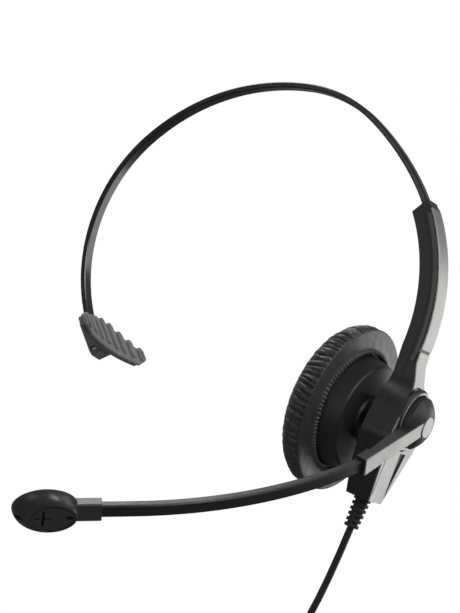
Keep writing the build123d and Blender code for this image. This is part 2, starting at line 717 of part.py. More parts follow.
# ---------------------------------------------------------------- microphone
pod_dir = boom_m * lean_dir(boom_lean1).X + Vector(1, 0, 0) * lean_dir(boom_lean1).Y
pod_c = boom_plane.from_local_coords(Vector(pod_at.X, pod_at.Y, 0))
# neck frame: local x across the boom's height, local z out along the boom
neck_plane = Plane(origin=pod_c, x_dir=boom_n, z_dir=pod_dir)
# pod frame: local z is the outer face's normal, local x runs out along the boom
pod_face = (neck_plane.y_dir * -1).rotate(Axis((0, 0, 0), pod_dir), -pod_roll)
pod_plane = Plane(origin=pod_c, x_dir=pod_dir, z_dir=pod_face)
pod_axis = Axis(pod_c, pod_face)
pod_side = Plane(origin=pod_c, x_dir=pod_dir, z_dir=pod_plane.y_dir * -1)
# the outer face sits off centre, towards the neck, inside a thin lip
face_h, face_r, face_x = 3.3, 8.35, -1.5
belly_h, belly_r, belly_x = 1.2, 9.95, -0.5
seam_h, back_h = -1.4, -3.6
lip_t, lip_drop = 0.6, 0.3
disc_plate_r, disc_plate_x, disc_plate_t = 6.6, -2.4, 0.2
pod_wall = 1.2
ceiling_h = face_h - lip_drop - pod_wall
slot_at, slot_long, slot_short = (0.7, 0), (0.8, 9.0), (5.4, 1.1)
pod_holes, pod_hole_r = [(8.0, 0.2), (-7.5, -0.2)], 1.25
neck_grip = 1.4                 # length of the neck inside the pod

neck_foot = -pod_r - neck_len + neck_grip
with BuildPart() as mic_neck:
    with BuildSketch(neck_plane.offset(neck_foot)):
        Rectangle(neck_h, neck_w)
    extrude(amount=neck_len)
    chamfer(mic_neck.edges().filter_by(Axis((0, 0, 0), pod_dir)), 0.4)
    # socket that the boom's end sits in
    extrude(boom_side(boom_w + 2 * socket_room), amount=boom_h / 2 + socket_room, both=True,
            mode=Mode.SUBTRACT)
write(mic_neck, "mic_neck")


def neck_room():
    """Section of the notch in the pod's rim that takes the neck."""
    with BuildSketch(neck_plane.offset(neck_foot)) as notch:
        Rectangle(neck_h + 2 * touch, neck_w + 2 * touch)
    return notch.sketch


def pod_disc(height, x, radius):
    """Circle in a plane parallel to the pod's face."""
    with BuildSketch(pod_plane.offset(height)) as plan:
        with Locations((x, 0)):
            Circle(radius)
    return plan.sketch


pod_room = loft(sections=[
    pod_disc(seam_h, 0, pod_r - pod_wall),
    pod_disc(ceiling_h, (belly_x + face_x) / 2, belly_r - 1.6 * pod_wall),
])
with BuildPart() as mic_shell_front:
    loft(sections=[
        pod_disc(seam_h, 0, pod_r),
        pod_disc(belly_h, belly_x, belly_r),
        pod_disc(face_h, face_x, face_r),
    ])
    extrude(pod_disc(face_h - lip_drop, face_x, face_r - lip_t), amount=2, mode=Mode.SUBTRACT)
    extrude(pod_disc(face_h - lip_drop, disc_plate_x, disc_plate_r), amount=disc_plate_t)
    add(pod_room, mode=Mode.SUBTRACT)
    # cross-shaped sound slot and the two round holes
    with BuildSketch(pod_plane.offset(face_h + 1)):
        with Locations(slot_at):
            Rectangle(*slot_long)
            Rectangle(*slot_short)
        with Locations(*pod_holes):
            Circle(pod_hole_r)
    extrude(amount=-4, mode=Mode.SUBTRACT)
    extrude(neck_room(), amount=neck_len + touch, mode=Mode.SUBTRACT)
write(mic_shell_front, "mic_shell_front")

back_flat_r, back_curve = 4.8, 9.0
with BuildPart() as mic_shell_back:
    with BuildSketch(pod_side):
        with BuildLine():
            seam = seam_h - touch
            Line((pod_r - 0.25, seam), (pod_r - pod_wall, seam))
            Polyline((pod_r - pod_wall, seam), (6.2, back_h + pod_wall), (0, back_h + pod_wall), (0, back_h),
                     (back_flat_r, back_h))
            RadiusArc((back_flat_r, back_h), (pod_r - 0.25, seam), -back_curve)
        make_face()
    revolve(axis=pod_axis)
    with BuildSketch(pod_plane.offset(back_h - 1)):
        with PolarLocations(2.6, 6):
            Circle(0.6)
        Circle(0.6)
    extrude(amount=3, mode=Mode.SUBTRACT)
    extrude(neck_room(), amount=neck_len + touch, mode=Mode.SUBTRACT)
write(mic_shell_back, "mic_shell_back")

capsule_foot, capsule_h, capsule_r, felt_r = -1.9, 3.2, 3.0, 5.2
with BuildPart() as mic_capsule:
    extrude(pod_disc(capsule_foot, 0, capsule_r), amount=capsule_h)
    with BuildSketch(pod_plane.offset(capsule_foot)):
        with GridLocations(2.0, 2.0, 2, 1):
            Circle(0.5)
    extrude(amount=-0.4)
write(mic_capsule, "mic_capsule")

felt_foot = capsule_foot + capsule_h + touch
with BuildPart() as mic_felt:
    extrude(pod_disc(felt_foot, 0, felt_r), amount=ceiling_h - touch - felt_foot)
write(mic_felt, "mic_felt")

# ---------------------------------------------------------------- ball joint of the ear cup
# side view of the cup: local x is the radius, local y the height along the cup's axis
cup_side = Plane(origin=cup_plane.origin, x_dir=cup_plane.x_dir, z_dir=cup_plane.y_dir * -1)
cup_axis = Axis(cup_plane.origin, cup_x)
liner_in, liner_out, socket_r = ball_r + 0.06, ball_r + liner_t, ball_r + liner_t + 0.06
liner_top, liner_foot = ball_h + 2.6, ball_h - 3.4
stud_end, wire_r = 69.9, 0.9
nut_x0, nut_x1 = 67.95, 69.5


def on_sphere(radius, height):
    """Distance from the cup's axis at which a sphere about the ball's centre crosses a height."""
    return math.sqrt(radius**2 - (height - ball_h)**2)


with BuildPart() as ball_stud:
    with Locations(ball_c):
        Sphere(ball_r)
    along_x(ball_c.X, stud_end, ball_c.Y, ball_c.Z, stud_neck_r)
    along_x(50, 72, ball_c.Y, ball_c.Z, wire_r, Mode.SUBTRACT)
write(ball_stud, "ball_stud")

with BuildPart() as stud_nut:
    with BuildSketch(Plane.YZ.offset(nut_x0)):
        with Locations((ball_c.Y, ball_c.Z)):
            RegularPolygon(stud_flange_r, 6)
            Circle(stud_neck_r + touch, mode=Mode.SUBTRACT)
    extrude(amount=nut_x1 - nut_x0)
write(stud_nut, "stud_nut")

with BuildPart() as ball_liner:
    with BuildSketch(cup_side):
        with BuildLine():
            top_in, top_out = ((on_sphere(r, liner_top), liner_top) for r in (liner_in, liner_out))
            foot_in, foot_out = ((on_sphere(r, liner_foot), liner_foot) for r in (liner_in, liner_out))
            Line(top_in, top_out)
            ThreePointArc(top_out, (liner_out, ball_h), foot_out)
            Line(foot_out, foot_in)
            ThreePointArc(foot_in, (liner_in, ball_h), top_in)
        make_face()
    revolve(axis=cup_axis)
write(ball_liner, "ball_liner")

# ---------------------------------------------------------------- ear cup
drum_wall, drum_foot = 1.6, 0.25
socket_hub_r, socket_hub_foot, socket_hub_top = 8.5, 2.2, 9.0
cup_screw_r, cup_boss_h = 18.0, 2.0
cup_screw_head, cup_screw_shank, cup_screw_sink = 1.1, 0.6, 0.9
with BuildPart() as cup_back:
    with BuildSketch(cup_side):
        with BuildLine():
            lid = drum_h - drum_wall
            mouth = on_sphere(socket_r, socket_hub_top)
            Polyline((socket_r, ball_h), (socket_r, socket_hub_foot), (socket_hub_r, socket_hub_foot),
                     (socket_hub_r, lid), (drum_r1 - drum_wall, lid), (drum_r0 - drum_wall, drum_foot),
                     (drum_r0, drum_foot), (drum_r1, drum_h), (socket_hub_r, drum_h),
                     (socket_hub_r - 0.6, socket_hub_top), (mouth, socket_hub_top))
            ThreePointArc((mouth, socket_hub_top), (on_sphere(socket_r, ball_h + 1.8), ball_h + 1.8),
                          (socket_r, ball_h))
        make_face()
    revolve(axis=cup_axis)
    fillet(cup_back.edges().filter_by(GeomType.CIRCLE).sort_by(lambda e: abs(e.radius - drum_r1))[0], 1.0)
    # bosses for the screws that come through the baffle
    with BuildSketch(cup_plane.offset(drum_foot)):
        with PolarLocations(cup_screw_r, 3):
            Circle(1.5)
            Circle(0.65, mode=Mode.SUBTRACT)
    extrude(amount=cup_boss_h)
write(cup_back, "cup_back")

ring_foot, ring_seat_in = 1.4, 3.9
with BuildPart() as liner_retainer:
    with BuildSketch(cup_side):
        with BuildLine():
            plug_r = socket_r - 0.06
            seat_top = (plug_r - 0.05, ball_h - math.sqrt(socket_r**2 - (plug_r - 0.05)**2))
            seat_foot = (ring_seat_in, ball_h - math.sqrt(socket_r**2 - ring_seat_in**2))
            Polyline(seat_foot, (ring_seat_in, ring_foot), (socket_hub_r - 0.2, ring_foot),
                     (socket_hub_r - 0.2, socket_hub_foot - touch), (plug_r, socket_hub_foot - touch),
                     (plug_r, seat_top[1]), seat_top)
            RadiusArc(seat_top, seat_foot, socket_r)
        make_face()
    revolve(axis=cup_axis)
    with BuildSketch(cup_plane.offset(ring_foot)):
        with PolarLocations(7.0, 2):
            Circle(0.75)
    extrude(amount=2, mode=Mode.SUBTRACT)
write(liner_retainer, "liner_retainer")

baffle_r, baffle_low, baffle_high = 24.5, -1.6, 0.2
pan_in, pan_out, pan_floor, pan_low = 15.2, 16.8, -5.0, -6.0
sound_hole_r, sound_hole_pitch = 0.8, 1.35
with BuildPart() as cup_baffle:
    with BuildSketch(cup_side):
        with BuildLine():
            Polyline((baffle_r, baffle_low), (baffle_r, baffle_high), (pan_in, baffle_high),
                     (pan_in, pan_floor), (0, pan_floor), (0, pan_low), (pan_out, pan_low),
                     (pan_out, baffle_low), close=True)
        make_face()
    revolve(axis=cup_axis)
    # sound holes
    with BuildSketch(cup_plane.offset(pan_low - 1)):
        with HexLocations(sound_hole_pitch, 9, 9):
            Circle(sound_hole_r)
    extrude(amount=3, mode=Mode.SUBTRACT)
    with BuildSketch(cup_plane.offset(baffle_low)):
        with PolarLocations(cup_screw_r, 3):
            Circle(cup_screw_head + touch)
    extrude(amount=cup_screw_sink, mode=Mode.SUBTRACT)
    with BuildSketch(cup_plane.offset(baffle_low)):
        with PolarLocations(cup_screw_r, 3):
            Circle(cup_screw_shank + 0.1)
    extrude(amount=3, mode=Mode.SUBTRACT)
write(cup_baffle, "cup_baffle")

with BuildPart() as cup_screws:
    with BuildSketch(cup_plane.offset(baffle_low + touch)):
        with PolarLocations(cup_screw_r, 3):
            Circle(cup_screw_head)
    extrude(amount=cup_screw_sink - 2 * touch)
    with BuildSketch(cup_plane.offset(baffle_low + cup_screw_sink - 2 * touch)):
        with PolarLocations(cup_screw_r, 3):
            Circle(cup_screw_shank)
    extrude(amount=2.6)
write(cup_screws, "cup_screws")

speaker_r = pan_in - 0.3
frame_foot, frame_top, frame_t, frame_hole_r = -4.5, -1.8, 1.0, 7.6
magnet_r, magnet_foot, magnet_h = 7.5, -3.0, 2.8
with BuildPart() as speaker_diaphragm:
    with BuildSketch(cup_side):
        with BuildLine():
            # flat edge, outer wave and dome
            Polyline((speaker_r, -4.9), (speaker_r, -4.6), (13.6, -4.6), (11.0, -4.1), (7.0, -4.6),
                     (0, -4.0), (0, -4.4), (7.0, -4.9), (11.0, -4.5), close=True)
        make_face()
    revolve(axis=cup_axis)
write(speaker_diaphragm, "speaker_diaphragm")

with BuildPart() as speaker_frame:
    with BuildSketch(cup_side):
        with BuildLine():
            Polyline((speaker_r, frame_foot), (speaker_r, frame_top), (frame_hole_r, frame_top),
                     (frame_hole_r, frame_top - frame_t), (speaker_r - frame_t, frame_top - frame_t),
                     (speaker_r - frame_t, frame_foot), close=True)
        make_face()
    revolve(axis=cup_axis)
write(speaker_frame, "speaker_frame")

with BuildPart() as speaker_magnet:
    with BuildSketch(cup_plane.offset(magnet_foot)):
        Circle(magnet_r)
    extrude(amount=magnet_h)
    fillet(speaker_magnet.faces().sort_by(Axis.X)[-1].edges(), 0.6)
write(speaker_magnet, "speaker_magnet")

foam_t = 0.4
with BuildPart() as foam_screen:
    with BuildSketch(cup_plane.offset(pan_low - touch - foam_t)):
        Circle(pan_out - 0.1)
    extrude(amount=foam_t)
write(foam_screen, "foam_screen")

cushion_hole_r, cushion_flat_r, cushion_wall, cushion_curve = 14.0, 23.0, -4.6, 7.0
with BuildPart() as ear_cushion:
    with BuildSketch(cup_side):
        with BuildLine():
            Line((cushion_hole_r, -cushion_d), (cushion_flat_r, -cushion_d))
            RadiusArc((cushion_flat_r, -cushion_d), (rim_r, cushion_wall), -cushion_curve)
            Line((rim_r, cushion_wall), (rim_r, 0))
            RadiusArc((rim_r, 0), (skirt_r, skirt_h), 40.0)
            # inside: over the baffle's rim and down its pan to the foam's edge
            Polyline((skirt_r, skirt_h), (skirt_r, 1.0), (24.9, 0.6), (24.9, -1.9), (17.2, -1.9),
                     (17.2, -6.7), (cushion_hole_r, -6.7), (cushion_hole_r, -cushion_d))
        make_face()
    revolve(axis=cup_axis)
write(ear_cushion, "ear_cushion")

# ---------------------------------------------------------------- cord and its plug
relief_end = base_z - relief_len
relief_side = Plane(origin=(relief_x, relief_y, base_z), x_dir=(1, 0, 0), z_dir=(0, -1, 0))
relief_axis = Axis((relief_x, relief_y, 0), (0, 0, 1))
relief_r0, relief_r1 = 3.1, 2.6
grooves, groove_pitch, groove_w, groove_d, spine_w = 5, 1.95, 0.95, 0.7, 1.5
with BuildPart() as strain_relief:
    with BuildSketch(relief_side):
        with BuildLine():
            Polyline((0, 2.6), (relief_flange_r, 2.6), (relief_flange_r, wall + touch),
                     (relief_neck_r, wall + touch), (relief_neck_r, -touch), (relief_r0, -touch),
                     (relief_r1, -relief_len), (0, -relief_len), close=True)
        make_face()
        for i in range(grooves):
            drop = 1.5 + i * groove_pitch
            edge_r = relief_r0 - (relief_r0 - relief_r1) * drop / relief_len
            with Locations((edge_r, -drop)):
                Rectangle(2 * groove_d, groove_w, mode=Mode.SUBTRACT)
    revolve(axis=relief_axis)
    # spines that tie the ribs together, front and back
    with Locations((relief_x, relief_y, base_z - relief_len / 2)):
        Box(spine_w, 2 * relief_r1 - 0.2, relief_len - 0.4)
write(strain_relief, "strain_relief")

# the spare length is wound into a small round coil that hangs beside the cord's line
layers_out, layers_across, turn_pitch = 3, 4, 2.6
lead_points = [
    (relief_x, relief_end),
    (relief_x, -172.0),
    (65.3, -190.0),
    (65.3, -202.0),
]
tail_x, tail_top = lead_points[-1]
coil_c = (tail_x + coil_r, tail_top)
coil_half_out = layers_out * turn_pitch / 2 + 0.1
coil_half_across = layers_across * turn_pitch / 2 + 0.1
tail_end_z = -228.0


def corner_radii(points):
    """Radius of the arc at each corner of a route: as large as its two runs allow."""
    radii = []
    for before, corner, after in zip(points, points[1:], points[2:]):
        run_in, run_out = Vector(*corner) - Vector(*before), Vector(*after) - Vector(*corner)
        shorter = min(run_in.length, run_out.length)
        radii.append(0.45 * shorter / math.tan(math.radians(run_in.get_angle(run_out)) / 2))
    return radii


coil_axis = Axis((coil_c[0], relief_y, coil_c[1]), (0, 1, 0))
with BuildPart() as cord_coil:
    with BuildSketch(Plane.XZ.offset(-relief_y)):
        with Locations(coil_c):
            Circle(coil_r + coil_half_out)
            Circle(coil_r - coil_half_out, mode=Mode.SUBTRACT)
    extrude(amount=coil_half_across, both=True)
    fillet(cord_coil.edges().filter_by(GeomType.CIRCLE), 1.2)
write(cord_coil, "cord_coil")

with BuildPart() as cord_lead:
    with BuildLine(Plane.XZ.offset(-relief_y)) as lead_line:
        FilletPolyline(*lead_points, radius=corner_radii(lead_points))
    with BuildSketch(Plane(origin=(relief_x, relief_y, relief_end), z_dir=(0, 0, -1))):
        Circle(cord_d / 2)
    sweep(path=lead_line.wires()[0])
    add(cord_coil.part, mode=Mode.SUBTRACT)
write(cord_lead, "cord_lead")

with BuildPart() as cord_tail:
    with BuildSketch(Plane(origin=(tail_x, relief_y, tail_top), z_dir=(0, 0, -1))):
        Circle(cord_d / 2)
    extrude(amount=tail_top - tail_end_z)
    add(cord_coil.part, mode=Mode.SUBTRACT)
write(cord_tail, "cord_tail")

tie_w, tie_t = 8.0, 1.1
tie_turn = math.degrees(tie_w / coil_r)
with BuildPart() as cord_tie:
    with BuildSketch(Plane(origin=(coil_c[0], relief_y, coil_c[1]), x_dir=(-1, 0, 0), z_dir=(0, 0, 1))):
        with Locations((coil_r, 0)):
            RectangleRounded(2 * (coil_half_out + tie_t), 2 * (coil_half_across + tie_t), 2.0)
            RectangleRounded(2 * (coil_half_out + touch), 2 * (coil_half_across + touch), 1.0,
                             mode=Mode.SUBTRACT)
    revolve(axis=coil_axis, revolution_arc=tie_turn)
write(cord_tie, "cord_tie")

plug_plane = Plane(origin=(tail_x, relief_y, tail_end_z), z_dir=(0, 0, -1))
boot_len, plug_len, plug_w, plug_d = 13.0, 26.0, 12.4, 8.2
plug_lip, plug_recess = 1.5, 9.0
grip_lines, grip_pitch, grip_w, grip_depth = 5, 1.8, 0.8, 0.5
with BuildPart() as plug_boot:
    with BuildSketch(plug_plane):
        Circle(cord_d / 2 + 1.0)
    with BuildSketch(plug_plane.offset(boot_len)):
        RectangleRounded(plug_w - 3.0, plug_d - 1.6, 2.2)
    loft()
write(plug_boot, "plug_boot")

with BuildPart() as plug_body:
    with BuildSketch(plug_plane.offset(boot_len + touch)):
        RectangleRounded(plug_w, plug_d, 2.6)
    extrude(amount=plug_len)
    fillet(plug_body.faces().sort_by(Axis.Z)[-1].edges(), 1.2)
    chamfer(plug_body.faces().sort_by(Axis.Z)[0].edges(), 0.4)
    # recess with the contacts, and grip grooves on both broad faces
    with BuildSketch(plug_plane.offset(boot_len + touch + plug_len)):
        RectangleRounded(plug_w - 2 * plug_lip, plug_d - 2 * plug_lip, 1.4)
    extrude(amount=-plug_recess, mode=Mode.SUBTRACT)
    for i in range(grip_lines):
        with BuildSketch(plug_plane.offset(boot_len + 5.0 + grip_pitch * i)):
            with GridLocations(0, plug_d, 1, 2):
                Rectangle(plug_w - 5.0, 2 * grip_depth)
        extrude(amount=grip_w, mode=Mode.SUBTRACT)
write(plug_body, "plug_body")

contact_pitch, contact_r, contact_len = 1.9, 0.5, 7.0
with BuildPart() as plug_contacts:
    with BuildSketch(plug_plane.offset(boot_len + touch + plug_len - plug_recess)):
        with GridLocations(contact_pitch, 0, 4, 1):
            Circle(contact_r)
    extrude(amount=contact_len)
write(plug_contacts, "plug_contacts")
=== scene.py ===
import json
import math

import bpy
from mathutils import Matrix, Vector, noise


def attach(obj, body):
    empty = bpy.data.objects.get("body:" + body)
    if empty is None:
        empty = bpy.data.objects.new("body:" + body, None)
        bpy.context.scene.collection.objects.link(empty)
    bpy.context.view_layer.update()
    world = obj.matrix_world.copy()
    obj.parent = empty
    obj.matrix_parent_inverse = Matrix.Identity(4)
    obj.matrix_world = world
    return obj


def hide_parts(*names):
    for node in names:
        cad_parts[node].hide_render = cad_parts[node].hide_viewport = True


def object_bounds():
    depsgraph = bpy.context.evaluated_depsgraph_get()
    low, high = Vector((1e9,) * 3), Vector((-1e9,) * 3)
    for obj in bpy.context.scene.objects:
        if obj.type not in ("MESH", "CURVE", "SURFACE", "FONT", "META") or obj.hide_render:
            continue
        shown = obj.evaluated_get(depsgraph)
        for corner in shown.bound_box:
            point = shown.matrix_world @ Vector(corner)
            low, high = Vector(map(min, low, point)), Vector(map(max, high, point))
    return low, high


# Looks of a single-ear office headset. Metres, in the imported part's own frame:
# +Z up, +X the ear cup's side, -Y the way the wearer faces, origin at the crown of the band.
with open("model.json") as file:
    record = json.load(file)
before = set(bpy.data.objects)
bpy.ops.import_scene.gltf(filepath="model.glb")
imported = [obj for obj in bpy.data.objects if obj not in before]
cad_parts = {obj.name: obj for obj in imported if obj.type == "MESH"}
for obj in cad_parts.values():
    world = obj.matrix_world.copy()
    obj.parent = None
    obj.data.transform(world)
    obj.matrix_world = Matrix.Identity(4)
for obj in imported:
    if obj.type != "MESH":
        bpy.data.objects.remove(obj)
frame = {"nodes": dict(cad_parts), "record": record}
nodes = frame["nodes"]
cad_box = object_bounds()
MM = 0.001

# ---------------------------------------------------------------- places that the pieces share
CUP_ORIGIN = Vector((54.5, 0, -102.1)) * MM     # middle of the cushion's back, on the cup's axis
CUP_YAW, CUP_PITCH = math.radians(-3.9), math.radians(-0.8)
CUP_AXIS = Vector((math.cos(CUP_YAW) * math.cos(CUP_PITCH), math.sin(CUP_YAW) * math.cos(CUP_PITCH),
                   math.sin(CUP_PITCH)))
CUP_UP = (Vector((0, 0, 1)) - CUP_AXIS * CUP_AXIS.z).normalized()
CUP_SIDE = CUP_AXIS.cross(CUP_UP)

# the photographer's camera, solved from the photograph
VIEW_TARGET = Vector((-1.465, 0, -69.34)) * MM
VIEW_AZIMUTH, VIEW_ELEVATION, VIEW_ROLL = (math.radians(a) for a in (27.755, -1.249, 22.711))
VIEW_DISTANCE = 0.70006
VIEW_LENS, VIEW_SENSOR = 113.12, 36.0
VIEW_SHIFT = (-0.03858, -0.05941)
VIEW_CLIP = (0.01, 50)


# ---------------------------------------------------------------- camera
def view_axes():
    """Directions to the camera's right, to its top, and back from the headset towards it."""
    back = Vector((math.sin(VIEW_AZIMUTH) * math.cos(VIEW_ELEVATION),
                   -math.cos(VIEW_AZIMUTH) * math.cos(VIEW_ELEVATION), math.sin(VIEW_ELEVATION)))
    right = Vector((math.cos(VIEW_AZIMUTH), math.sin(VIEW_AZIMUTH), 0))
    up = back.cross(right)
    rolled_right = right * math.cos(VIEW_ROLL) + up * math.sin(VIEW_ROLL)
    rolled_up = up * math.cos(VIEW_ROLL) - right * math.sin(VIEW_ROLL)
    return rolled_right, rolled_up, back


def make_camera():
    """The photographer's camera."""
    right, up, back = view_axes()
    data = bpy.data.cameras.new("camera")
    data.lens, data.sensor_width = VIEW_LENS, VIEW_SENSOR
    data.shift_x, data.shift_y = VIEW_SHIFT
    data.clip_start, data.clip_end = VIEW_CLIP
    camera = bpy.data.objects.new("camera", data)
    bpy.context.scene.collection.objects.link(camera)
    place = VIEW_TARGET + back * VIEW_DISTANCE
    rows = [[right[i], up[i], back[i], place[i]] for i in range(3)] + [[0, 0, 0, 1]]
    camera.matrix_world = Matrix(rows)
    bpy.context.scene.camera = camera


# ---------------------------------------------------------------- cord
# The route is in mm. It lies in the plane y = CORD_Y, apart from the coil's width.
CORD_D = 2.5 * MM
CORD_Y = -0.4
CORD_EXIT = (72.3, CORD_Y, -138.8)
LEAD_POINTS = [CORD_EXIT, (72.3, CORD_Y, -172.0), (65.3, CORD_Y, -190.0)]
TAIL_POINTS = [(65.3, CORD_Y, -216.0), (65.3, CORD_Y, -228.0)]
COIL_CENTRE = (79.3, -202.0)    # x and z
COIL_PITCH = 2.6                # between neighbouring turns
COIL_R = 14.0                   # middle layer of turns
# the turns in order: layer out from the middle one, and place across the coil
COIL_TURNS = [(0, -1.5), (-1, -1.5), (-1, -0.5), (-1, 0.5), (-1, 1.5), (0, 1.5), (0, 0.5), (0, -0.5),
              (1, -0.5), (1, 0.5)]
COIL_STEPS = 18                 # points to a turn
COIL_STEPPING = COIL_STEPS / 6  # of them in which a turn moves over to its own place
COIL_SWELL = 1.012              # makes up for the spline passing inside its points


def coil_points():
    """Points of the wound turns. Each turn starts beside the tie, at the place of the turn before it."""
    points = []
    for i in range(len(COIL_TURNS) * COIL_STEPS + 1):
        turn, part = divmod(i, COIL_STEPS)
        share = min(part / COIL_STEPPING, 1.0) if turn else 1.0
        now = COIL_TURNS[min(turn, len(COIL_TURNS) - 1)]
        before = COIL_TURNS[max(turn - 1, 0)]
        layer = before[0] + (now[0] - before[0]) * share
        across = before[1] + (now[1] - before[1]) * share
        radius = (COIL_R + layer * COIL_PITCH) * COIL_SWELL
        angle = math.pi + 2 * math.pi * i / COIL_STEPS
        points.append((COIL_CENTRE[0] + radius * math.cos(angle), CORD_Y + across * COIL_PITCH,
                       COIL_CENTRE[1] + radius * math.sin(angle)))
    return points


def make_cord():
    """The cord from the strain relief to the plug's boot, as one smooth spline."""
    route = LEAD_POINTS + coil_points() + TAIL_POINTS
    data = bpy.data.curves.new("cord", "CURVE")
    data.dimensions = "3D"
    spline = data.splines.new("NURBS")
    spline.points.add(len(route) - 1)
    for point, place in zip(spline.points, route):
        point.co = (*(Vector(place) * MM), 1)
        point.radius = CORD_D / 2
    spline.order_u = 3
    spline.use_endpoint_u = True
    data.resolution_u = 6
    data.bevel_depth = 1.0      # times each point's radius
    data.bevel_resolution = 5
    data.use_fill_caps = True
    cord = bpy.data.objects.new("cord", data)
    bpy.context.scene.collection.objects.link(cord)
    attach(cord, "arm")
    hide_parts("cord_lead", "cord_coil", "cord_tail")
    return cord


# ---------------------------------------------------------------- materials
class Nodes:
    """A Principled material under construction, with short calls for its nodes."""

    def __init__(self, name, color, roughness, metallic=0.0, specular=0.5):
        self.material = bpy.data.materials.new(name)
        self.material.use_nodes = True
        self.tree = self.material.node_tree
        self.shader = self.tree.nodes["Principled BSDF"]
        self.shader.inputs["Base Color"].default_value = (*color, 1)
        self.shader.inputs["Roughness"].default_value = roughness
        self.shader.inputs["Metallic"].default_value = metallic
        self.shader.inputs["Specular IOR Level"].default_value = specular
        self.color = color
        self.place = self.tree.nodes.new("ShaderNodeTexCoord").outputs["Object"]
        self.normal = None

    def node(self, kind, inputs=(), **settings):
        """Adds a node, sets its attributes, and fills inputs by name with values or outputs."""
        new = self.tree.nodes.new(kind)
        for key, value in settings.items():
            setattr(new, key, value)
        for key, value in dict(inputs).items():
            if isinstance(value, bpy.types.NodeSocket):
                self.tree.links.new(value, new.inputs[key])
            else:
                new.inputs[key].default_value = value
        return new

    def noise(self, size, detail=3.0, rough=0.5, distortion=0.0, place=None):
        """Noise whose features are about size across, in metres."""
        return self.node("ShaderNodeTexNoise", {"Vector": place or self.place, "Scale": 1 / size,
                                                "Detail": detail, "Roughness": rough,
                                                "Distortion": distortion}).outputs["Fac"]

    def remap(self, value, low, high, to_low, to_high):
        """Maps value from low..high to to_low..to_high, clamped."""
        return self.node("ShaderNodeMapRange", {"Value": value, "From Min": low, "From Max": high,
                                                "To Min": to_low, "To Max": to_high}).outputs["Result"]

    def tint(self, fac, dark, light):
        """Colour between two scalings of the base colour, by fac."""
        mix = self.node("ShaderNodeMix", data_type="RGBA")
        self.tree.links.new(fac, mix.inputs["Factor"])
        mix.inputs["A"].default_value = (*[c * dark for c in self.color], 1)
        mix.inputs["B"].default_value = (*[c * light for c in self.color], 1)
        return mix.outputs["Result"]

    def use_color(self, output):
        self.tree.links.new(output, self.shader.inputs["Base Color"])

    def use_roughness(self, output):
        self.tree.links.new(output, self.shader.inputs["Roughness"])

    def bump(self, height, distance, strength=1.0):
        """Adds relief of that height, in metres, on top of the relief so far."""
        inputs = {"Height": height, "Distance": distance, "Strength": strength}
        if self.normal is not None:
            inputs["Normal"] = self.normal
        self.normal = self.node("ShaderNodeBump", inputs).outputs["Normal"]
        self.tree.links.new(self.normal, self.shader.inputs["Normal"])

    def round_edges(self, radius):
        """Softens the look of sharp edges."""
        self.normal = self.node("ShaderNodeBevel", {"Radius": radius}, samples=4).outputs["Normal"]
        self.tree.links.new(self.normal, self.shader.inputs["Normal"])


def moulded_plastic(name, color, roughness, grain=0.5, edge=0.35):
    """Injection-moulded plastic: fine spark texture and faint flow marks; edge is in mm."""
    m = Nodes(name, color, roughness)
    m.round_edges(edge * MM)
    flow = m.noise(14 * MM, 4, 0.6)
    fine = m.noise(0.35 * MM, 2, 0.6)
    m.use_color(m.tint(m.remap(flow, 0.3, 0.7, 0, 1), 0.85, 1.18))
    m.use_roughness(m.remap(flow, 0.3, 0.7, roughness - 0.04, roughness + 0.06))
    m.bump(fine, 0.012 * MM * grain, 0.8)
    return m.material


def polished_plastic(name, color, roughness):
    """Polished plastic or film, with faint waviness and rubbed hairlines."""
    m = Nodes(name, color, roughness, specular=0.6)
    m.round_edges(0.3 * MM)
    haze = m.noise(9 * MM, 4, 0.65)
    drawn = m.node("ShaderNodeMapping", {"Vector": m.place, "Scale": (1.0, 14.0, 1.0)})
    hair = m.noise(1.6 * MM, 5, 0.7, place=drawn.outputs["Vector"])
    m.use_roughness(m.remap(haze, 0.35, 0.65, roughness, roughness + 0.10))
    m.use_color(m.tint(m.remap(haze, 0.3, 0.7, 0, 1), 0.8, 1.25))
    m.bump(hair, 0.003 * MM, 0.6)
    m.bump(m.noise(6 * MM, 1, 0.4), 0.02 * MM, 0.5)
    return m.material


def satin_metal_paint(name, color, roughness):
    """Metallic paint or plating: fine flake and a soft satin sheen."""
    m = Nodes(name, color, roughness, metallic=0.6)
    m.round_edges(0.2 * MM)
    flake = m.node("ShaderNodeTexVoronoi", {"Vector": m.place,
                                            "Scale": 1 / (0.12 * MM)}).outputs["Distance"]
    cloud = m.noise(8 * MM, 4, 0.6)
    m.use_color(m.tint(m.remap(cloud, 0.3, 0.7, 0, 1), 0.93, 1.07))
    m.use_roughness(m.remap(cloud, 0.3, 0.7, roughness - 0.05, roughness + 0.07))
    m.bump(flake, 0.004 * MM, 0.5)
    m.bump(m.noise(0.9 * MM, 3, 0.6), 0.006 * MM, 0.5)
    return m.material


def metal(name, color, roughness, brushed=True):
    """Turned or stamped bare metal."""
    m = Nodes(name, color, roughness, metallic=1.0)
    m.round_edges(0.15 * MM)
    stretch = (1.0, 1.0, 9.0) if brushed else (1.0, 1.0, 1.0)
    lines = m.node("ShaderNodeMapping", {"Vector": m.place, "Scale": stretch}).outputs["Vector"]
    grain = m.noise(0.5 * MM, 4, 0.6, place=lines)
    m.use_color(m.tint(m.remap(grain, 0.3, 0.7, 0, 1), 0.85, 1.08))
    m.use_roughness(m.remap(grain, 0.3, 0.7, roughness - 0.05, roughness + 0.08))
    m.bump(grain, 0.004 * MM, 0.5)
    return m.material


